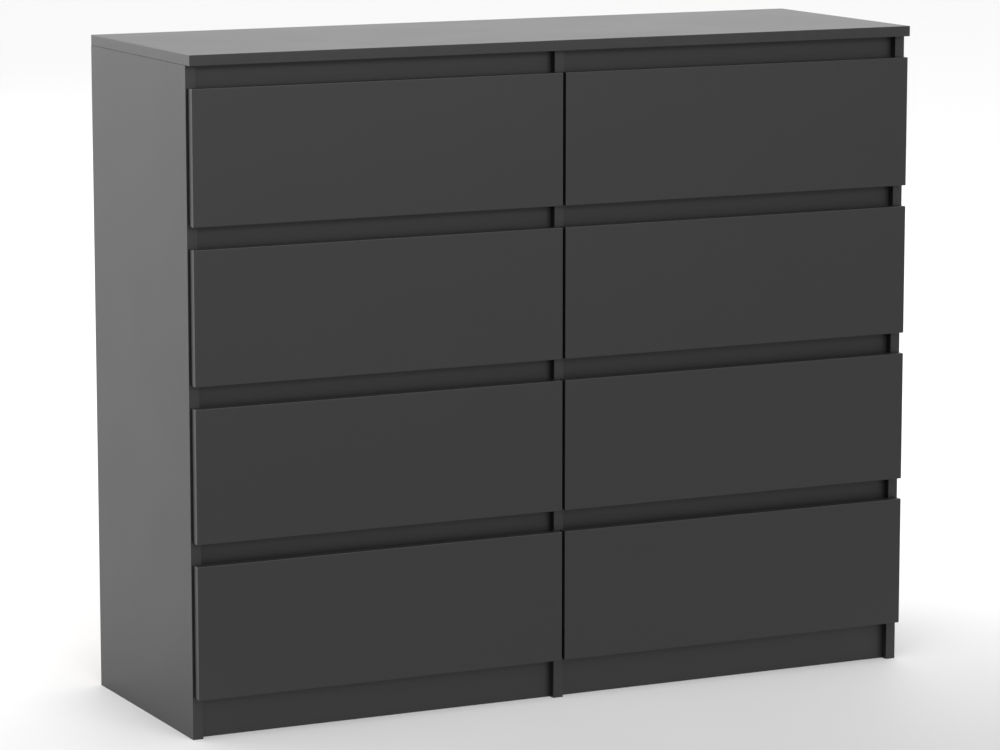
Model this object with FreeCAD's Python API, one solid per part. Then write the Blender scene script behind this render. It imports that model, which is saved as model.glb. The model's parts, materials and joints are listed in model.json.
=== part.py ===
"""Chest of eight drawers in two columns: laminated board carcass, handleless fronts, roller runners.

Millimetres, +Z up, the fronts face -Y. The origin is on the floor, under the middle of the chest.
Every board, sheet, runner, roller and fastener is a solid of its own, and each is written to
parts/NODE.step with the pieces of its kind.
"""

import FreeCAD
import Part
import os

V = FreeCAD.Vector

# ---- Overall sizes
overall_width = 1200.0
overall_height = 1008.0
overall_depth = 403.0
rows = 4
sides_of_chest = {"left": -1, "right": 1}

# ---- Boards and sheets
board = 16.0               # laminated chipboard of the carcass and the fronts
back_sheet = 3.0           # hardboard back
box_board = 12.0           # drawer sides and backs
bottom_sheet = 3.0         # hardboard drawer bottom
edge_radius = 1.0          # rounded edge band of the top and the fronts
arris_radius = 0.4         # softened front edges of the upright boards

# ---- Fronts, rails and base
finger_gap = 32.5          # open height above every front
base_reveal = 62.0         # floor to the lowest front
front_side_inset = 3.25    # front's end to the outer face of the side
front_middle_gap = 4.5     # between the two columns of fronts
front_standoff = 1.0       # back of a closed front to the carcass
rail_setback = 12.0        # rails and plinths behind the front edge of the sides
rail_lap = 16.0            # rail hidden behind the front above and the front below
floor_lap = 20.0           # top of the carcass bottom above the lowest front's edge
rear_plinth_setback = 30.0
back_inset = 2.0           # back sheet inside the outline of the carcass
back_foot_gap = 12.0       # floor to the lower edge of the back sheet
back_middle_gap = 1.0      # between the two back sheets

# ---- Drawer boxes
box_clear_below = 30.0     # lower edge of the front to the lower edge of the box
box_clear_above = 40.0     # upper edge of the box to the upper edge of the front
side_clearance = 12.5      # runner space at each side of the box
groove_depth = 6.0
groove_height = 10.0       # lower edge of the box to the groove
groove_slack = 0.2         # groove wider than the sheet
sheet_end_slack = 0.5      # sheet short of the bottom of its groove

# ---- Roller runners
runner_step = 50.0         # runners are sold in steps of this length
runner_rear_clearance = 15.0
runner_overlap = 90.0      # length that stays engaged when the drawer is open
runner_front_setback = 2.0
steel = 1.2
track_width = 9.0
track_height = 19.6
track_lower_lip = 4.5
track_upper_lip = 4.0
track_front_cut = 26.0     # upper flange cut back to clear the front roller
carrier_flange_gap = 1.9   # carrier's flange above the track
carrier_reach = 9.5        # carrier's flange towards the carcass side
carrier_foot = 9.0         # carrier's flange under the box side
carrier_foot_height = 2.0  # foot flange above the bottom of the track
roller_radius = 8.0
roller_width = 5.0
roller_bore = 2.6
roller_play = 0.3          # between a roller and the flange it runs on
roller_side_play = 0.25
roller_groove = 0.6        # running groove pressed around each roller
pin_radius = 2.5
pin_head_radius = 4.0
pin_head = 0.7
roller_end_distance = 12.0 # roller axis to the end of its profile
stop_height = 7.0
stop_length = 3.0
stop_slack = 2.0           # left between the stop and the roller at full travel

# ---- Fasteners
fit = 0.05                 # radial clearance of a fastener in its hole
# a cam reaches past the bolt in the middle of its board; distance is from its centre to the board's end
carcass_cam = {"radius": 7.5, "past_bolt": 4.5, "distance": 34.0}
drawer_cam = {"radius": 6.0, "past_bolt": 3.5, "distance": 24.0}
divider_gap = 1.0          # between fasteners that enter the centre divider from both faces
in_face = (board - divider_gap) / 2
bolt_radius = 3.0
bolt_head_radius = 3.6
bolt_head = 3.0
bolt_thread_radius = 2.5
bolt_thread = in_face
bolt_hole_radius = 4.0
dowel_radius = 4.0
dowel_length = 30.0
dowel_in_face = in_face
screw_radius = 1.75
screw_head_radius = 3.4
screw_length = steel + in_face
box_screw_radius = 2.5
box_screw_head_radius = 4.5
box_screw_head = 2.5
box_screw_length = 38.0
nail_radius = 0.8
nail_head_radius = 2.6
nail_head = 0.6
nail_length = 18.0
nail_spacing = 120.0
nail_edge = 40.0           # first nail to the corner of the sheet
cross_recess = 3.2         # driver recess in a cam
slot_width = 1.4

# ---- Places that follow from the sizes
y_front = -overall_depth / 2
y_carcass = y_front + board + front_standoff
y_rear = overall_depth / 2 - back_sheet
y_rail = y_carcass + rail_setback
y_front_back = y_front + board
half_width = overall_width / 2
under_top = overall_height - board
bay_width = (overall_width - 3 * board) / 2
bay_centre = (board + bay_width) / 2
front_height = (under_top - base_reveal - rows * finger_gap) / rows
front_width = half_width - front_side_inset - front_middle_gap / 2
row_pitch = front_height + finger_gap
bottom_top = base_reveal + floor_lap
box_width = bay_width - 2 * side_clearance
box_height = front_height - box_clear_below - box_clear_above
runner_room = y_rear - y_carcass - runner_rear_clearance
runner_length = runner_step * int(runner_room // runner_step)
travel = runner_length - runner_overlap
y_runner = y_carcass + runner_front_setback
box_length = runner_length
carrier_height = track_height + carrier_flange_gap + steel
groove = bottom_sheet + groove_slack


def row_base(row):
    """Lower edge of a front; row 1 is the top row."""
    return base_reveal + (rows - row) * row_pitch


def box(x0, x1, y0, y1, z0, z1):
    return Part.makeBox(x1 - x0, y1 - y0, z1 - z0, V(x0, y0, z0))


def rod(radius, start, end):
    axis = end - start
    return Part.makeCylinder(radius, axis.Length, start, axis)


def cone(radius_start, radius_end, start, end):
    axis = end - start
    return Part.makeCone(radius_start, radius_end, axis.Length, start, axis)


def fused(shapes):
    whole = shapes[0].multiFuse(shapes[1:])
    return whole.removeSplitter().Solids[0]


def drilled(solid, tools):
    """The solid with the tools that reach it cut away."""
    near = [t for t in tools if t.BoundBox.intersect(solid.BoundBox)]
    return solid.cut(near).Solids[0] if near else solid


def edges_along(solid, axis, place, tolerance=0.01):
    """Straight edges that run along an axis and lie where place(midpoint) is true."""
    found = []
    for edge in solid.Edges:
        start, end = edge.Vertexes[0].Point, edge.Vertexes[-1].Point
        run = end - start
        if run.Length > tolerance and abs(abs(run.normalize().dot(axis)) - 1) < tolerance:
            if place((start + end) * 0.5):
                found.append(edge)
    return found


# ---- Fasteners. Each returns its solids and the holes that it needs.

def cam_fitting(face_point, into_end, face_normal, half_board, kind):
    """A bolt in one board, the cam that pulls the next board's end to it, and the holes for both.

    into_end points from face_point, where the boards meet, into the board that holds the cam.
    face_normal points out of the face that the cam is let into, half_board away.
    """
    radius, height = kind["radius"], half_board + kind["past_bolt"]
    centre = face_point + into_end * kind["distance"]
    head_end = centre + into_end * (bolt_head / 2)
    head_start = head_end - into_end * bolt_head
    bolt = fused([
        rod(bolt_thread_radius, face_point - into_end * bolt_thread, face_point),
        rod(bolt_radius, face_point, head_start),
        rod(bolt_head_radius, head_start, head_end),
    ])
    face = centre + face_normal * half_board
    mouth = rod(bolt_hole_radius, head_end + into_end * fit, centre - into_end * radius)
    across = face_normal.cross(into_end)
    cuts = [mouth]
    for along, aside in ((into_end, across), (across, into_end)):
        corner = face - along * cross_recess - aside * (slot_width / 2) - face_normal * slot_width
        far = face + along * cross_recess + aside * (slot_width / 2) + face_normal
        cuts.append(box(*(end for low_high in zip(corner, far) for end in sorted(low_high))))
    cam = rod(radius - fit, face - face_normal * height, face).cut(cuts).Solids[0]
    holes = [
        rod(bolt_thread_radius + fit, face_point - into_end * (bolt_thread + fit), face_point),
        rod(bolt_hole_radius, face_point, centre),
        rod(radius, face - face_normal * (height + fit), face + face_normal),
    ]
    return [cam, bolt], holes


def dowel(face_point, into_end):
    start = face_point - into_end * dowel_in_face
    end = start + into_end * dowel_length
    hole = rod(dowel_radius + fit, start - into_end * fit, end + into_end * fit)
    return rod(dowel_radius, start, end), hole


def countersunk_screw(head_point, direction, sheet, length, radius=screw_radius,
                      head_radius=screw_head_radius):
    """A screw whose cone fills a sheet of that thickness, and the hole for it."""
    under_head = head_point + direction * sheet
    tip = head_point + direction * length
    solid = fused([cone(head_radius, radius, head_point, under_head), rod(radius, under_head, tip)])
    hole = fused([cone(head_radius + fit, radius + fit, head_point, under_head),
                  rod(radius + fit, under_head, tip + direction * fit)])
    return solid, hole


# ---- Runner profiles, drawn for the left side of a bay: x from the carcass side into the bay,
# ---- y from the front end of the profile, z from the bottom of the track.

def screw_places():
    return [37.0, 37.0 + 32.0 * int((runner_length / 2 - 37.0) // 32.0), runner_length - 40.0]


def front_axis():
    """Axis of the roller on the carcass, as (y, z) in the runner's own frame."""
    flange = track_height + carrier_flange_gap
    return roller_end_distance, flange - roller_play - roller_radius


def rear_axis():
    """Axis of the roller on the drawer when it is shut."""
    carrier_start = y_front_back - y_runner
    return carrier_start + runner_length - roller_end_distance, steel + roller_play + roller_radius


def carcass_profile():
    """The C-shaped track, with the pin of the front roller and the stop."""
    inner = track_width - steel
    y_axis, z_axis = front_axis()
    rear_y, rear_z = rear_axis()
    stop_y = rear_y - travel - roller_radius - stop_slack - stop_length
    parts = [
        box(0, steel, 0, runner_length, 0, track_height),
        box(0, track_width, 0, runner_length, 0, steel),
        box(inner, track_width, 0, runner_length, 0, track_lower_lip),
        box(0, track_width, track_front_cut, runner_length, track_height - steel, track_height),
        box(inner, track_width, track_front_cut, runner_length, track_height - track_upper_lip, track_height),
        box(0, steel + roller_width, stop_y, stop_y + stop_length, rear_z - stop_height / 2, rear_z + stop_height / 2),
    ]
    roller_end = steel + 2 * roller_side_play + roller_width
    parts += [
        rod(pin_radius, V(0, y_axis, z_axis), V(roller_end, y_axis, z_axis)),
        rod(pin_head_radius, V(roller_end, y_axis, z_axis), V(roller_end + pin_head, y_axis, z_axis)),
    ]
    return fused(parts)


def drawer_profile():
    """The Z-shaped carrier under the box side, with the pin of the rear roller."""
    web = side_clearance - steel
    start = y_front_back - y_runner
    end = start + runner_length
    flange = track_height + carrier_flange_gap
    y_axis, z_axis = rear_axis()
    head_start = steel + roller_side_play
    roller_start = head_start + pin_head + roller_side_play
    parts = [
        box(web, side_clearance, start, end, carrier_foot_height, carrier_height),
        box(side_clearance - carrier_reach, side_clearance, start, end, flange, carrier_height),
        box(web, side_clearance + carrier_foot, start, end, carrier_foot_height, carrier_foot_height + steel),
        rod(pin_radius, V(roller_start - roller_side_play, y_axis, z_axis), V(web + steel / 2, y_axis, z_axis)),
        rod(pin_head_radius, V(head_start, y_axis, z_axis), V(head_start + pin_head, y_axis, z_axis)),
    ]
    return fused(parts)


def roller(x_start, y_axis, z_axis):
    """A nylon roller with a shallow groove around its rim."""
    ring = rod(roller_radius, V(x_start, y_axis, z_axis), V(x_start + roller_width, y_axis, z_axis))
    bore = rod(roller_bore, V(x_start - 1, y_axis, z_axis), V(x_start + roller_width + 1, y_axis, z_axis))
    tyre = Part.makeTorus(roller_radius + roller_groove, 2 * roller_groove,
                          V(x_start + roller_width / 2, y_axis, z_axis), V(1, 0, 0))
    return ring.cut([bore, tyre]).Solids[0]


def front_roller():
    return roller(steel + roller_side_play, *front_axis())


def rear_roller():
    return roller(steel + 2 * roller_side_play + pin_head, *rear_axis())


def in_bay(shape, column, row, hand):
    """A runner shape moved to its bay; hand is -1 at the bay's left side and 1 at its right."""
    placed = shape if hand < 0 else shape.mirror(V(0, 0, 0), V(1, 0, 0))
    x = sides_of_chest[column] * bay_centre + hand * bay_width / 2
    z = row_base(row) + box_clear_below - carrier_foot_height - steel
    return placed.translated(V(x, y_runner, z))


# ---- Carcass

def rail_span(row):
    """Lower and upper edge of the rail above a front."""
    top_of_front = row_base(row) + front_height
    upper = under_top if row == 1 else top_of_front + finger_gap + rail_lap
    return top_of_front - rail_lap, upper


def carcass_blanks():
    """The undrilled boards, as {node: [solids]}."""
    lower = box(-half_width, half_width, y_front, y_rear, under_top, overall_height)
    top = lower.makeFillet(edge_radius, edges_along(
        lower, V(1, 0, 0), lambda p: abs(p.y - y_front) < 0.01) + edges_along(
        lower, V(0, 1, 0), lambda p: True) + edges_along(
        lower, V(0, 0, 1), lambda p: abs(p.y - y_front) < 0.01))
    nodes = {"top_panel": [top]}
    uprights = {"left_side_panel": -half_width, "centre_divider": -board / 2,
                "right_side_panel": half_width - board}
    for name, x in uprights.items():
        plain = box(x, x + board, y_carcass, y_rear, 0, under_top)
        edges = edges_along(plain, V(0, 0, 1), lambda p: abs(p.y - y_carcass) < 0.01)
        nodes[name] = [plain.makeFillet(arris_radius, edges)]
    nodes["bottom_panels"], nodes["plinths"], nodes["front_rails"] = [], [], []
    for side in sides_of_chest.values():
        x0 = side * bay_centre - bay_width / 2
        x1 = x0 + bay_width
        nodes["bottom_panels"].append(box(x0, x1, y_rail, y_rear, bottom_top - board, bottom_top))
        y_rear_plinth = y_rear - rear_plinth_setback - board
        for y in (y_rail, y_rear_plinth):
            nodes["plinths"].append(box(x0, x1, y, y + board, 0, bottom_top - board))
        for row in range(1, rows + 1):
            z0, z1 = rail_span(row)
            nodes["front_rails"].append(box(x0, x1, y_rail, y_rail + board, z0, z1))
    return nodes


def carcass_fasteners():
    """Cams with their bolts, dowels, and the holes that both need."""
    cams, dowels, holes = [], [], []

    def add_cam(*place):
        solids, cuts = cam_fitting(*place, carcass_cam)
        cams.extend(solids)
        holes.extend(cuts)

    def add_dowel(*place):
        solid, cut = dowel(*place)
        dowels.append(solid)
        holes.append(cut)

    half = board / 2
    y_middle = (y_carcass + y_rear) / 2
    span = (y_rear - y_carcass) / 2
    for side in sides_of_chest.values():
        for hand in (-1, 1):
            x = side * bay_centre + hand * bay_width / 2
            inward = V(-hand, 0, 0)
            for row in range(1, rows + 1):
                z0, z1 = rail_span(row)
                z = (z0 + z1) / 2
                offset = (z1 - z0) / 4
                add_cam(V(x, y_rail + half, z - offset), inward, V(0, 1, 0), half)
                add_dowel(V(x, y_rail + half, z + offset), inward)
            z = (bottom_top - board) / 2
            for y, normal in ((y_rail + half, 1), (y_rear - rear_plinth_setback - half, -1)):
                add_cam(V(x, y, z - half), inward, V(0, normal, 0), half)
                add_dowel(V(x, y, z + half), inward)
            for share in (-0.5, 0.5):
                y = y_middle + share * span
                add_cam(V(x, y, bottom_top - half), inward, V(0, 0, -1), half)
                add_dowel(V(x, y + 2 * board, bottom_top - half), inward)
    uprights = ((-half_width + half, V(1, 0, 0)), (0, V(1, 0, 0)), (half_width - half, V(-1, 0, 0)))
    for x, normal in uprights:
        for share in (-0.6, 0.6):
            y = y_middle + share * span
            add_cam(V(x, y, under_top), V(0, 0, -1), normal, half)
            add_dowel(V(x, y + 2 * board, under_top), V(0, 0, -1))
    return cams, dowels, holes


def back_and_nails():
    """Two back sheets with the nails that hold them, and the nails' holes."""
    sheets, nails, holes = [], [], []
    z0, z1 = back_foot_gap, overall_height - back_inset
    half = board / 2
    for side in sides_of_chest.values():
        xs = sorted([side * back_middle_gap / 2, side * (half_width - back_inset)])
        sheets.append(box(xs[0], xs[1], y_rear, y_rear + back_sheet, z0, z1))
        x_outer = side * (half_width - half)
        x_inner = side * (half + back_middle_gap) / 2
        count = int((z1 - z0 - 2 * nail_edge) // nail_spacing)
        step = (z1 - z0 - 2 * nail_edge) / count
        places = [(x, z0 + nail_edge + i * step) for x in (x_outer, x_inner) for i in range(count)]
        across = int((bay_width - 2 * nail_edge) // nail_spacing)
        step = (bay_width - 2 * nail_edge) / across
        x_start = side * bay_centre - bay_width / 2 + nail_edge
        for z in (bottom_top - half, overall_height - half):
            places += [(x_start + i * step, z) for i in range(across + 1)]
        for x, z in places:
            face = V(x, y_rear + back_sheet - nail_head, z)
            out = V(0, 1, 0)
            nails.append(fused([rod(nail_radius, face - out * (nail_length - nail_head), face),
                                rod(nail_head_radius, face, face + out * nail_head)]))
            holes.append(fused([rod(nail_radius + fit, face - out * nail_length, face),
                                rod(nail_head_radius + fit, face, face + out * board)]))
    return [drilled(s, holes) for s in sheets], nails, holes


# ---- Drawers

def drawer(column, row):
    """The pieces of one shut drawer, as {part name: [solids]}."""
    side = sides_of_chest[column]
    centre = side * bay_centre
    z0 = row_base(row)
    z_box = z0 + box_clear_below
    z_groove = z_box + groove_height
    z_back = z_groove + groove
    y_end = y_front_back + box_length
    half_box = box_width / 2
    inside = half_box - box_board

    outer_end = side * (half_width - front_side_inset)
    inner_end = side * front_middle_gap / 2
    x0, x1 = min(outer_end, inner_end), max(outer_end, inner_end)
    blank = box(x0, x1, y_front, y_front_back, z0, z0 + front_height)
    front = blank.makeFillet(edge_radius, edges_along(
        blank, V(1, 0, 0), lambda p: True) + edges_along(blank, V(0, 0, 1), lambda p: True) + edges_along(
        blank, V(0, 1, 0), lambda p: True))
    reach = inside + groove_depth
    groove_cut = box(centre - reach, centre + reach, y_front_back - groove_depth, y_end + 1,
                     z_groove, z_back)
    front = front.cut(groove_cut).Solids[0]

    sides = [box(centre - half_box, centre - inside, y_front_back, y_end, z_box, z_box + box_height),
             box(centre + inside, centre + half_box, y_front_back, y_end, z_box, z_box + box_height)]
    sides = [s.cut(groove_cut).Solids[0] for s in sides]
    back = box(centre - inside, centre + inside, y_end - box_board, y_end, z_back, z_box + box_height)
    slack = groove_slack / 2
    grip = reach - sheet_end_slack
    sheet = box(centre - grip, centre + grip, y_front_back - groove_depth + sheet_end_slack,
                y_end - sheet_end_slack, z_groove + slack, z_groove + slack + bottom_sheet)

    fixings, holes = [], []
    inset = drawer_cam["distance"]
    fixing_heights = (z_back + inset, z_box + box_height - inset)
    for hand in (-1, 1):
        x_mid = centre + hand * (half_box - box_board / 2)
        inward = V(-hand, 0, 0)
        for z in fixing_heights:
            solids, cuts = cam_fitting(V(x_mid, y_front_back, z), V(0, 1, 0), inward, box_board / 2,
                                       drawer_cam)
            fixings += solids
            holes += cuts
            solid, hole = countersunk_screw(V(centre + hand * half_box, y_end - box_board / 2, z), inward,
                                            box_screw_head, box_screw_length, box_screw_radius,
                                            box_screw_head_radius)
            fixings.append(solid)
            holes.append(hole)
    for hand in (-1, 1):
        profile = drawer_profile()
        web = side_clearance - steel
        z_screw = carrier_foot_height + steel + groove_height / 2
        for y in screw_places():
            solid, hole = countersunk_screw(V(web, y, z_screw), V(1, 0, 0), steel, screw_length)
            profile = profile.cut(hole).Solids[0]
            fixings.append(in_bay(solid, column, row, hand))
            holes.append(in_bay(hole, column, row, hand))
        fixings.append(in_bay(profile, column, row, hand))
    return {
        "front": [drilled(front, holes)],
        "box": [drilled(s, holes) for s in sides + [back]],
        "bottom": [sheet],
        "runners": fixings,
        "rollers": [in_bay(rear_roller(), column, row, hand) for hand in (-1, 1)],
    }


def carcass_runners():
    """Tracks, their screws, the screws' holes, and the rollers at the front of the tracks."""
    tracks, screws, holes, rollers = [], [], [], {}
    z_screw = track_height / 2
    track = carcass_profile()
    pairs = [countersunk_screw(V(steel, y, z_screw), V(-1, 0, 0), steel, screw_length)
             for y in screw_places()]
    for _, hole in pairs:
        track = track.cut(hole).Solids[0]
    for column in sides_of_chest:
        for row in range(1, rows + 1):
            for hand in (-1, 1):
                tracks.append(in_bay(track, column, row, hand))
                screws += [in_bay(solid, column, row, hand) for solid, _ in pairs]
                holes += [in_bay(hole, column, row, hand) for _, hole in pairs]
            rollers[column, row] = [in_bay(front_roller(), column, row, hand) for hand in (-1, 1)]
    return tracks, screws, holes, rollers


def build():
    nodes = carcass_blanks()
    cams, dowels, joint_holes = carcass_fasteners()
    sheets, nails, nail_holes = back_and_nails()
    tracks, screws, screw_holes, rollers = carcass_runners()
    holes = joint_holes + nail_holes + screw_holes
    for name, solids in nodes.items():
        nodes[name] = [drilled(s, holes) for s in solids]
    nodes["back_panels"] = sheets
    nodes["carcass_tracks"] = tracks
    nodes["carcass_cam_fittings"] = cams
    nodes["carcass_dowels"] = dowels
    nodes["carcass_screws_and_nails"] = screws + nails
    for column in sides_of_chest:
        for row in range(1, rows + 1):
            for part, solids in drawer(column, row).items():
                nodes[f"drawer_{column}_{row}_{part}"] = solids
            nodes[f"track_{column}_{row}_rollers"] = rollers[column, row]
    return nodes


def main():
    os.makedirs("parts", exist_ok=True)
    nodes = build()
    for name, solids in sorted(nodes.items()):
        bad = [s for s in solids if not s.isValid() or s.Volume <= 0]
        if bad:
            raise ValueError(f"{name} has {len(bad)} invalid solids")
        shape = solids[0] if len(solids) == 1 else Part.makeCompound(solids)
        shape.exportStep(f"parts/{name}.step")
    print(f"{len(nodes)} nodes, {sum(len(s) for s in nodes.values())} solids")
    print(f"front {front_width:g} x {front_height:g}, runner {runner_length:g}, travel {travel:g}")


main()
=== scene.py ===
# %% [markdown]
# # A chest of eight drawers
# Two columns of handleless drawers in near-black laminated board. The joiner's model is loaded first
# and holds every size. This lesson then gives each board, runner and fastener its surface, and makes
# again, in more detail, the pieces that are seen most: the top and the eight fronts.

# %% Load the joiner's model
import json
import math

import bpy
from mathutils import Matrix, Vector

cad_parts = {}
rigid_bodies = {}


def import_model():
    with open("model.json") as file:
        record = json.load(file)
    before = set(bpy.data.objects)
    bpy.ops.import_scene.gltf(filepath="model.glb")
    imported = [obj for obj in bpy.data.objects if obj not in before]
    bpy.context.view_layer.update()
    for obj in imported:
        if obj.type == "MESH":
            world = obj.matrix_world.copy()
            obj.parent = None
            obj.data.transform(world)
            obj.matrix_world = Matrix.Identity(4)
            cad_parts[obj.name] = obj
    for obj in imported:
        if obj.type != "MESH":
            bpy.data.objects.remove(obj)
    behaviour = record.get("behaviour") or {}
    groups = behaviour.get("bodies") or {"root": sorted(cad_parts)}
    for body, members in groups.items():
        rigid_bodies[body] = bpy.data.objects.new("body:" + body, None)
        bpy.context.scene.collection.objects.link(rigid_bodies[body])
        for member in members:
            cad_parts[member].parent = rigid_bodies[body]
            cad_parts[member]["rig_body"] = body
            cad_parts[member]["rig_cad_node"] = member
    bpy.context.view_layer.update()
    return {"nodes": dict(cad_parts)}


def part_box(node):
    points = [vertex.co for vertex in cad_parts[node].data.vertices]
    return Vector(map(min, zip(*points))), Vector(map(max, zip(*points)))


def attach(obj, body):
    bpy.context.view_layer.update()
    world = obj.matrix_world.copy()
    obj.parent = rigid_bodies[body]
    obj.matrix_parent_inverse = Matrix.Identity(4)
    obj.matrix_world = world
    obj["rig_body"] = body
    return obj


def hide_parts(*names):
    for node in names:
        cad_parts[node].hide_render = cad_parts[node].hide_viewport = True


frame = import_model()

# %% [markdown]
# ## Small helpers
# An operator works on whatever is selected, so every step starts from a clean selection and then
# picks objects, faces or edges by where they are.

# %% Selecting
MM = 0.001


def deselect():
    """Leave edit mode and select nothing."""
    if bpy.context.mode != "OBJECT":
        bpy.ops.object.mode_set(mode="OBJECT")
    bpy.ops.object.select_all(action="DESELECT")


def only(*objects):
    """Select these objects and nothing else."""
    deselect()
    for one in objects:
        one.select_set(True)
    bpy.context.view_layer.objects.active = objects[0]


def pick_faces(piece, wanted):
    """Enter edit mode on a piece with only the faces where wanted(centre, normal) is true."""
    only(piece)
    bpy.ops.object.mode_set(mode="EDIT")
    bpy.ops.mesh.select_mode(type="FACE")
    bpy.ops.mesh.select_all(action="DESELECT")
    bpy.ops.object.mode_set(mode="OBJECT")
    for face in piece.data.polygons:
        face.select = wanted(face.center, face.normal)
    bpy.ops.object.mode_set(mode="EDIT")


def block(name, low, high):
    """A box between two corners, its object at the origin and its place in its mesh."""
    deselect()
    bpy.ops.mesh.primitive_cube_add(size=1, location=(Vector(low) + Vector(high)) / 2)
    piece = bpy.context.object
    piece.name = name
    piece.scale = Vector(high) - Vector(low)
    only(piece)
    bpy.ops.object.transform_apply(location=True, rotation=True, scale=True)
    return piece


def apply_modifiers(piece):
    """Make what the modifiers show part of the mesh."""
    only(piece)
    for modifier in list(piece.modifiers):
        bpy.ops.object.modifier_apply(modifier=modifier.name)


# %% [markdown]
# ## Surfaces
# Each surface is a layer: a colour, a roughness and a height, all worked out from the place on the
# piece in metres. A board can carry other layers on the faces that point in given directions, which
# is how a sawn edge shows its chips, and a banded edge its band, while the face shows its foil.

# %% Colours
def colour(code, alpha=1.0):
    """The linear colour of an sRGB hex code."""
    parts = [int(code[i:i + 2], 16) / 255 for i in (1, 3, 5)]
    return [c / 12.92 if c <= 0.04045 else ((c + 0.055) / 1.055) ** 2.4 for c in parts] + [alpha]


# %% Adding nodes
def add(tree, kind, values=None, links=None, **settings):
    """Add one node, with its settings, socket values and incoming links."""
    new = tree.nodes.new(kind)
    for name, value in settings.items():
        setattr(new, name, value)
    for socket, value in (values or {}).items():
        new.inputs[socket].default_value = value
    for socket, source in (links or {}).items():
        tree.links.new(source, new.inputs[socket])
    return new


def noise(tree, place, size, detail=2.0, stretch=(1, 1, 1)):
    """Soft noise whose blots are about size metres across, stretched along the axes."""
    at = add(tree, "ShaderNodeMapping", {"Scale": [1 / (size * s) for s in stretch]}, {"Vector": place})
    return add(tree, "ShaderNodeTexNoise", {"Scale": 1.0, "Detail": detail},
               {"Vector": at.outputs[0]}).outputs["Fac"]


def between(tree, factor, low, high, start=0.35, end=0.65):
    """A number that runs from low to high as the factor goes from start to end."""
    span = {"From Min": start, "From Max": end, "To Min": low, "To Max": high}
    return add(tree, "ShaderNodeMapRange", span, {"Value": factor}).outputs["Result"]


# %% Mixing layers
COLOUR_A, COLOUR_B, COLOUR_OUT = 6, 7, 2  # sockets of a Mix node that is set to colour
NUMBER_A, NUMBER_B, NUMBER_OUT = 2, 3, 0  # and of one that is set to numbers
ALONG = 0.9  # cosine from which a face counts as pointing along a direction


def blend_colours(tree, factor, first, second):
    """Mix two colours; each is a hex code or the output of a node."""
    mix = add(tree, "ShaderNodeMix", links={"Factor": factor}, data_type="RGBA")
    for socket, source in ((mix.inputs[COLOUR_A], first), (mix.inputs[COLOUR_B], second)):
        if isinstance(source, str):
            socket.default_value = colour(source)
        else:
            tree.links.new(source, socket)
    return mix.outputs[COLOUR_OUT]


def blend_numbers(tree, factor, first, second):
    """Mix the number outputs of two nodes."""
    mix = add(tree, "ShaderNodeMix", links={"Factor": factor}, data_type="FLOAT")
    tree.links.new(first, mix.inputs[NUMBER_A])
    tree.links.new(second, mix.inputs[NUMBER_B])
    return mix.outputs[NUMBER_OUT]


def facing(tree, normal, directions):
    """1 on faces that point along one of the directions, 0 elsewhere."""
    total = None
    for direction in directions:
        dot = add(tree, "ShaderNodeVectorMath", {1: direction}, {0: normal}, operation="DOT_PRODUCT")
        one = add(tree, "ShaderNodeMath", {1: ALONG}, {0: dot.outputs["Value"]}, operation="GREATER_THAN")
        if total is None:
            total = one.outputs[0]
        else:
            total = add(tree, "ShaderNodeMath", links={0: total, 1: one.outputs[0]},
                        operation="MAXIMUM").outputs[0]
    return total


# %% Making a material
def surface(name, layer, edges=(), relief=0.05 * MM, **sockets):
    """A material made of a layer, with other layers on its edges.

    edges pairs each other layer with the directions that its faces point in.
    """
    material = bpy.data.materials.new(name)
    material.use_nodes = True
    tree = material.node_tree
    shader = tree.nodes["Principled BSDF"]
    for socket, value in sockets.items():
        shader.inputs[socket.replace("_", " ")].default_value = value
    at = tree.nodes.new("ShaderNodeTexCoord")
    tint, rough, height = layer(tree, at.outputs["Object"])
    for edge_layer, directions in edges:
        edge_tint, edge_rough, edge_height = edge_layer(tree, at.outputs["Object"])
        mask = facing(tree, at.outputs["Normal"], directions)
        tint = blend_colours(tree, mask, tint, edge_tint)
        rough = blend_numbers(tree, mask, rough, edge_rough)
        height = blend_numbers(tree, mask, height, edge_height)
    bump = add(tree, "ShaderNodeBump", {"Strength": 1.0, "Distance": relief}, {"Height": height})
    tree.links.new(tint, shader.inputs["Base Color"])
    tree.links.new(rough, shader.inputs["Roughness"])
    tree.links.new(bump.outputs[0], shader.inputs["Normal"])
    print("material", name, len(tree.nodes), "nodes")
    return material


# %% [markdown]
# ### Melamine foil
# The boards are chipboard covered with a paper foil soaked in melamine resin and pressed against a
# satin steel plate. Resin has an IOR near 1.5, so the board looks black from the front and goes grey
# where it is seen at a slant. The press plate leaves a pearl texture about half a millimetre across;
# it is drawn at 1.5 mm here, because finer grain wouldn't show. The edge band is a plastic strip of
# nearly the same black.

# %% Melamine layers
PEARL = 1.5 * MM
SMEAR = 140 * MM


def dark_foil(tree, place):
    """The foil: near-black, with its pearl and a slow drift in shine."""
    pearl = noise(tree, place, PEARL, 3.0)
    smear = noise(tree, place, SMEAR, 4.0)
    tint = blend_colours(tree, pearl, "#111111", "#151515")
    return tint, between(tree, smear, 0.432, 0.448), pearl


def dark_band(tree, place):
    """The edge band: a plastic strip, a shade smoother and lighter than the foil."""
    streak = noise(tree, place, 4 * MM, 2.0, (6, 1, 6))
    tint = blend_colours(tree, streak, "#141414", "#181818")
    return tint, between(tree, streak, 0.39, 0.43), streak


# %% [markdown]
# ### Chipboard
# A sawn, uncovered edge shows flakes of wood, 1 to 4 mm long, in a darker bed of glue and dust.

# %% Chipboard layer
CHIP = 2.4 * MM


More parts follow.
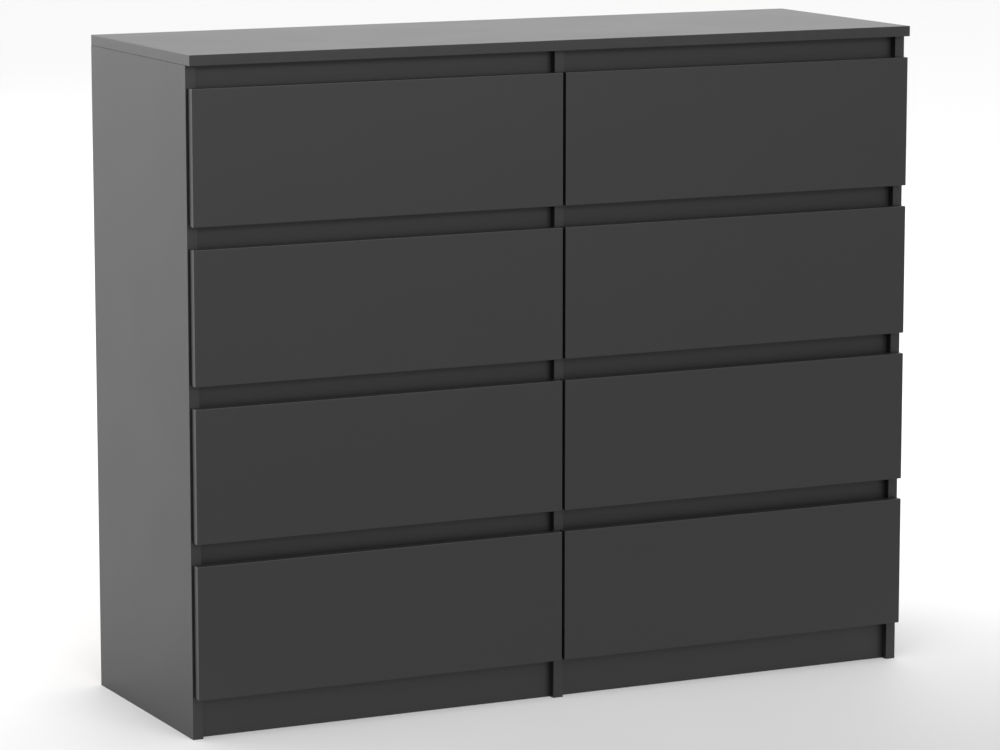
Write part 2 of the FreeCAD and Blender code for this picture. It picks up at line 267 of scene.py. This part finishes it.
def chips(tree, place):
    """Flakes of wood in a darker bed."""
    flat = add(tree, "ShaderNodeMapping", {"Scale": (1 / CHIP, 1 / CHIP, 1 / CHIP)}, {"Vector": place})
    cells = add(tree, "ShaderNodeTexVoronoi", {"Scale": 1.0}, {"Vector": flat.outputs[0]})
    single = add(tree, "ShaderNodeSeparateColor", links={0: cells.outputs["Color"]})
    dust = noise(tree, place, 1.2 * MM, 3.0)
    flakes = blend_colours(tree, single.outputs[0], "#9c7a50", "#cfae80")
    tint = blend_colours(tree, between(tree, dust, 0.0, 1.0, 0.5, 0.7), flakes, "#6e5233")
    height = blend_numbers(tree, dust, single.outputs[0], dust)
    return tint, between(tree, dust, 0.75, 0.9), height


# %% [markdown]
# ### Drawer boards, hardboard
# Drawer sides are wrapped in a pale grey paper foil with a faint printed grain. Hardboard is pressed
# wood fibre: the smooth face of a drawer bottom is lacquered, and the rough face keeps the imprint of
# the wire mesh that it was pressed on.

# %% Drawer foil and hardboard layers
GRAIN = 1.6 * MM
MESH = 3.2 * MM


def pale_foil(tree, place):
    """Grey paper foil with a faint grain."""
    grain = noise(tree, place, GRAIN, 4.0, (60, 60, 1))
    tint = blend_colours(tree, grain, "#bdbcb8", "#cbcac6")
    return tint, between(tree, grain, 0.42, 0.52), grain


def pale_lacquer(tree, place):
    """The smooth side of a drawer bottom."""
    peel = noise(tree, place, 5 * MM, 2.0)
    tint = blend_colours(tree, peel, "#c6c5c1", "#cecdc9")
    return tint, between(tree, peel, 0.34, 0.42), peel


def fibre(tree, place):
    """Brown fibre with the imprint of a wire mesh."""
    hair = noise(tree, place, 1.4 * MM, 5.0, (3, 1, 1))
    cloud = noise(tree, place, 90 * MM, 3.0)
    part = add(tree, "ShaderNodeSeparateXYZ", links={0: place})
    rows = []
    for axis in range(3):
        phase = add(tree, "ShaderNodeMath", {1: math.tau / MESH}, {0: part.outputs[axis]},
                    operation="MULTIPLY")
        rows.append(add(tree, "ShaderNodeMath", links={0: phase.outputs[0]}, operation="SINE").outputs[0])
    weave = add(tree, "ShaderNodeMath", links={0: rows[0], 1: rows[2]}, operation="MULTIPLY")
    weave = add(tree, "ShaderNodeMath", links={0: weave.outputs[0], 1: rows[1]}, operation="ADD")
    height = blend_numbers(tree, hair, weave.outputs[0], hair)
    shade = blend_colours(tree, between(tree, hair, 0.0, 1.0), "#5b4331", "#715742")
    tint = blend_colours(tree, between(tree, cloud, 0.0, 0.15), shade, "#4f3a2b")
    return tint, between(tree, hair, 0.7, 0.85), height


# %% [markdown]
# ### Steel, zinc, nylon and beech
# Runners are bent from steel strip and powder coated, which leaves a fine orange peel. Cams and screws
# are zinc plated, a bright metal with a cloudy polish. The rollers are moulded nylon, slightly
# see-through at the rim. Dowels are beech, with long fine pores.

# %% Layers of the fittings
def powder(tree, place):
    """Powder coat with its orange peel."""
    peel = noise(tree, place, 1.8 * MM, 2.0)
    tint = blend_colours(tree, peel, "#c4c4c0", "#cdcdc9")
    return tint, between(tree, peel, 0.38, 0.5), peel


def zinc(tree, place):
    """Zinc plate: cloudy, finely scratched."""
    cloud = noise(tree, place, 3 * MM, 3.0)
    scratch = noise(tree, place, 0.8 * MM, 2.0, (8, 1, 1))
    tint = blend_colours(tree, cloud, "#a9adb1", "#c3c6c8")
    return tint, between(tree, cloud, 0.24, 0.4), scratch


def nylon(tree, place):
    """Moulded nylon with faint swirls."""
    swirl = noise(tree, place, 6 * MM, 2.0)
    tint = blend_colours(tree, swirl, "#dedcd4", "#e8e6df")
    return tint, between(tree, swirl, 0.3, 0.4), swirl


def beech_pores(tree, place):
    """Beech with its fine pores."""
    pores = noise(tree, place, 0.9 * MM, 4.0, (1, 12, 1))
    tint = blend_colours(tree, between(tree, pores, 0.0, 1.0), "#b98b5c", "#cda273")
    return tint, between(tree, pores, 0.55, 0.7), pores


# %% Make the materials
FRONT, BACK, DOWN = (0, -1, 0), (0, 1, 0), (0, 0, -1)
RESIN = 1.5  # IOR of melamine, lacquer and powder coat
POLYAMIDE = 1.53

foil = surface("melamine_foil", dark_foil, relief=0.02 * MM, IOR=RESIN)
band = surface("plastic_edge_band", dark_band, relief=0.01 * MM, IOR=RESIN)
upright_foil = surface("melamine_foil_banded_front_sawn_back", dark_foil,
                       ((dark_band, (FRONT,)), (chips, (BACK, DOWN))), relief=0.02 * MM, IOR=RESIN)
shelf_foil = surface("melamine_foil_sawn_back", dark_foil, ((chips, (BACK,)),),
                     relief=0.02 * MM, IOR=RESIN)
plinth_foil = surface("melamine_foil_sawn_foot", dark_foil, ((chips, (DOWN,)),),
                      relief=0.02 * MM, IOR=RESIN)
drawer_foil = surface("paper_foil_sawn_back_and_foot", pale_foil,
                      ((chips, (BACK, DOWN)),), relief=0.03 * MM, IOR=RESIN)
drawer_bottom = surface("hardboard_lacquered_above", pale_lacquer,
                        ((fibre, (DOWN,)),), relief=0.05 * MM, IOR=RESIN)
back_sheet = surface("hardboard_dark_inside", fibre, ((dark_foil, (FRONT,)),),
                     relief=0.12 * MM, IOR=RESIN)
coated_steel = surface("powder_coated_steel", powder, relief=0.04 * MM, IOR=RESIN)
plated_steel = surface("zinc_plated_steel", zinc, relief=0.02 * MM, Metallic=1.0)
moulded_nylon = surface("moulded_nylon", nylon, relief=0.02 * MM, IOR=POLYAMIDE, Subsurface_Weight=0.15)
beech = surface("beech", beech_pores, relief=0.05 * MM, IOR=RESIN)

# %% [markdown]
# ## Boards that keep the joiner's shape
# The uprights, rails, plinths, carcass bottoms and drawer boxes already have their grooves, bores and
# softened edges, so they only take their surfaces.

# %% Give the joiner's boards their surfaces
def cover(node, material):
    """Give a node of the joiner's model one material."""
    slots = frame["nodes"][node].data.materials
    slots.clear()
    slots.append(material)


for node in ("left_side_panel", "centre_divider", "right_side_panel"):
    cover(node, upright_foil)
cover("bottom_panels", shelf_foil)
cover("plinths", plinth_foil)
cover("front_rails", foil)
cover("back_panels", back_sheet)
for node in frame["nodes"]:
    if node.startswith("drawer_") and node.endswith("_box"):
        cover(node, drawer_foil)
    if node.startswith("drawer_") and node.endswith("_bottom"):
        cover(node, drawer_bottom)
print(sum(node.endswith(("_box", "_bottom")) for node in frame["nodes"]), "drawer boards and bottoms")

# %% [markdown]
# ## Top and fronts
# Each of these boards is a slab of foil-faced chipboard with a 1.3 mm plastic band glued round its
# four edges and rounded over. A cube is cut along the glue lines, the outer strips take the band's
# material, and the corners are rounded by a bevel that stays inside the band. Normals weighted by
# area keep the flat faces flat beside it. The first front is modelled and the rest are copies of it.

# %% Banded boards
BAND = 1.3 * MM
ROUND = 0.8 * MM
ROUND_STEPS = 4
SQUARE = 60  # degrees: only corners sharper than this are rounded
CREASE = 30  # degrees: edges sharper than this stay crisp


def banded_board(name, low, high, thin):
    """A board with a band round it; thin is the axis of its thickness."""
    board = block(name, low, high)
    board.data.materials.append(foil)
    board.data.materials.append(band)
    across = [axis for axis in range(3) if axis != thin]
    for axis in across:
        for place in (low[axis] + BAND, high[axis] - BAND):
            point, normal = Vector(low), Vector((0, 0, 0))
            point[axis] = place
            normal[axis] = 1
            only(board)
            bpy.ops.object.mode_set(mode="EDIT")
            bpy.ops.mesh.select_all(action="SELECT")
            bpy.ops.mesh.bisect(plane_co=point, plane_no=normal)
    pick_faces(board, lambda c, n: any(
        c[a] < low[a] + BAND or c[a] > high[a] - BAND for a in across))
    board.active_material_index = 1
    bpy.ops.object.material_slot_assign()
    only(board)
    bevel = board.modifiers.new("round", "BEVEL")
    bevel.width = ROUND
    bevel.segments = ROUND_STEPS
    bevel.limit_method = "ANGLE"
    bevel.angle_limit = math.radians(SQUARE)
    apply_modifiers(board)
    bpy.ops.object.shade_smooth_by_angle(angle=math.radians(CREASE))
    board.modifiers.new("flat faces stay flat", "WEIGHTED_NORMAL").keep_sharp = True
    apply_modifiers(board)
    return board


top = banded_board("top_board", *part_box("top_panel"), thin=2)
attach(top, "carcass")
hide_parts("top_panel")
print("top", len(top.data.polygons), "faces")

# %% The eight fronts
fronts = sorted(n for n in frame["nodes"] if n.startswith("drawer_") and n.endswith("_front"))
first_low, first_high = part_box(fronts[0])
pattern = banded_board("front_pattern", first_low, first_high, thin=1)
for node in fronts:
    body = node.removesuffix("_front")
    front = pattern.copy()
    front.data = pattern.data.copy()
    front.name = body + "_face_board"
    bpy.context.scene.collection.objects.link(front)
    only(front)
    front.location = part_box(node)[0] - first_low
    bpy.ops.object.transform_apply(location=True)
    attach(front, body)
    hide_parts(node)
bpy.data.objects.remove(pattern)
print(len(fronts), "fronts")

# %% [markdown]
# ## Fittings
# Rollers, screws, cams and dowels are round, so they are copied, their triangles are merged, and they
# are shaded smooth up to a crease angle, which a loose triangle can't be. The carriers, their screws,
# the cams and the box screws of a drawer come as one node of many loose solids. That copy is split
# into its solids, they are sorted by size, and each kind gets the surface of what it is.

# %% Merge, split and dress
WELD = 0.001 * MM


def merged_copy(node):
    """A free copy of a node with its triangles merged."""
    source = frame["nodes"][node]
    whole = source.copy()
    whole.data = source.data.copy()
    whole.name = node + "_copy"
    whole.parent = None
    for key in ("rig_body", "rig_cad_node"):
        if key in whole:
            del whole[key]
    bpy.context.scene.collection.objects.link(whole)
    only(whole)
    bpy.ops.object.mode_set(mode="EDIT")
    bpy.ops.mesh.select_all(action="SELECT")
    bpy.ops.mesh.remove_doubles(threshold=WELD)
    bpy.ops.object.mode_set(mode="OBJECT")
    return whole


def loose_solids(node):
    """The separate solids of a merged copy."""
    only(merged_copy(node))
    bpy.ops.object.mode_set(mode="EDIT")
    bpy.ops.mesh.select_all(action="SELECT")
    bpy.ops.mesh.separate(type="LOOSE")
    bpy.ops.object.mode_set(mode="OBJECT")
    return list(bpy.context.selected_objects)


def joined(solids, name):
    """The solids as one piece."""
    only(*solids)
    bpy.ops.object.join()
    bpy.context.object.name = name
    return bpy.context.object


def dress(piece, body, material, slot):
    """Give a piece its surface and creases, and let it ride."""
    piece.data.materials.clear()
    piece.data.materials.append(material)
    only(piece)
    bpy.ops.object.shade_smooth_by_angle(angle=math.radians(CREASE))
    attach(piece, body)


# %% Fittings of the carcass, and every roller
carcass_fittings = {
    "carcass_tracks": (coated_steel, "coated_steel"),
    "carcass_cam_fittings": (plated_steel, "zinc_fittings"),
    "carcass_dowels": (beech, "beech"),
    "carcass_screws_and_nails": (plated_steel, "zinc_fittings"),
}
for node, finish in carcass_fittings.items():
    piece = merged_copy(node)
    piece.name = node + "_smooth"
    dress(piece, "carcass", *finish)
    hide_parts(node)

rollers = [node for node in frame["nodes"] if node.endswith("_rollers")]
for node in rollers:
    piece = merged_copy(node)
    piece.name = node + "_smooth"
    dress(piece, node, moulded_nylon, "nylon")
    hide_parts(node)
print(len(carcass_fittings), "sets of carcass fittings,", len(rollers), "pairs of rollers")

# %% Fittings of the drawers
LONG = 200 * MM
drawers = [f"drawer_{column}_{row}" for column in ("left", "right") for row in range(1, 5)]
for body in drawers:
    solids = loose_solids(body + "_runners")
    long_ones = [solid for solid in solids if solid.dimensions.y > LONG]
    short_ones = [solid for solid in solids if solid not in long_ones]
    carriers = joined(long_ones, body + "_carriers")
    dress(carriers, body, coated_steel, "coated_steel")
    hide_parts(body + "_runners")
    dress(joined(short_ones, body + "_fittings"), body, plated_steel, "zinc_fittings")
print(len(drawers), "sets of drawer fittings")

# %% [markdown]
# ## Camera
# A long lens, from the left of the chest and a little above its top. It stands far enough away for
# the uprights to stay nearly upright in the picture without any lens shift.

# %% Camera
CAMERA_PLACE = (-2.7975, -5.7245, 1.5232)
HEADING = 25.97  # degrees from straight on, turned to the right
TILT = 9.36  # degrees below the horizon
LENS = 149.8  # mm, on a sensor 36 mm wide
FAR = 100.0

lens = bpy.data.cameras.new("camera")
lens.lens = LENS
lens.sensor_width = 36.0
lens.clip_end = FAR
camera = bpy.data.objects.new("camera", lens)
camera.location = CAMERA_PLACE
camera.rotation_euler = (math.radians(90 - TILT), 0, math.radians(-HEADING))
bpy.context.scene.collection.objects.link(camera)
bpy.context.scene.camera = camera
print("camera", tuple(camera.location))

# %% [markdown]
# ## Studio
# A pale floor that runs out of sight, a white surround, and four soft lights. One is overhead, a long
# low one in front reaches into the finger gaps, and the two behind are what the left side and the top
# reflect. The boards are dark and satin, so what shows on them is mostly the room around them.

# %% Floor
FLOOR_SIZE = 60
GREY_UNTIL = -1.1
WHITE_FROM = 0.5

bpy.context.scene.view_settings.view_transform = "Standard"
deselect()
bpy.ops.mesh.primitive_plane_add(size=FLOOR_SIZE, location=(0, 0, 0))
floor = bpy.context.object
floor.name = "floor"


def floor_paint_and_painted_light(tree, place):
    """Pale grey in front of the chest, running to white under and behind it: painted light, a fade like
    that of a lit studio backdrop; the grey in front also sends less light back.
    """
    cloud = noise(tree, place, 500 * MM, 2.0)
    depth = add(tree, "ShaderNodeSeparateXYZ", links={0: place}).outputs["Y"]
    near = blend_colours(tree, cloud, "#a8a8a8", "#acacac")
    # painted light: the floor turns from grey to white by place, in place of the fall of light on a
    # studio backdrop
    painted_fade = between(tree, depth, 0.0, 1.0, GREY_UNTIL, WHITE_FROM)
    tint = blend_colours(tree, painted_fade, near, "#f8f8f8")
    return tint, between(tree, cloud, 0.6, 0.7), cloud


floor.data.materials.append(surface("floor_paint_and_painted_light", floor_paint_and_painted_light, relief=0.01 * MM))
print("floor", FLOOR_SIZE, "m")

# %% Surround and lights
world = bpy.data.worlds.new("surround")
world.use_nodes = True
world.node_tree.nodes["Background"].inputs["Color"].default_value = (1, 1, 1, 1)
world.node_tree.nodes["Background"].inputs["Strength"].default_value = 1.0
bpy.context.scene.world = world


def softbox(name, place, aim, size, power):
    """A rectangular light of that size in metres, pointed at aim."""
    light = bpy.data.lights.new(name, "AREA")
    light.shape = "RECTANGLE"
    light.size, light.size_y = size
    light.energy = power
    lamp = bpy.data.objects.new(name, light)
    lamp.location = place
    lamp.rotation_euler = (Vector(aim) - Vector(place)).to_track_quat("-Z", "Y").to_euler()
    bpy.context.scene.collection.objects.link(lamp)
    print("light", name, power, "W")


softbox("overhead", (-1.0, -3.5, 4.5), (0, 0, 0.3), (5, 3), 120)
softbox("front", (1.0, -6.0, 2.8), (0, 0, 0.3), (4, 1.2), 112)
softbox("rear_left", (-3.5, 6.5, 2.2), (0, 0, 0.8), (8, 3), 185)
softbox("rear_right", (4.0, 6.0, 2.4), (0, 0, 0.8), (5, 3), 38)
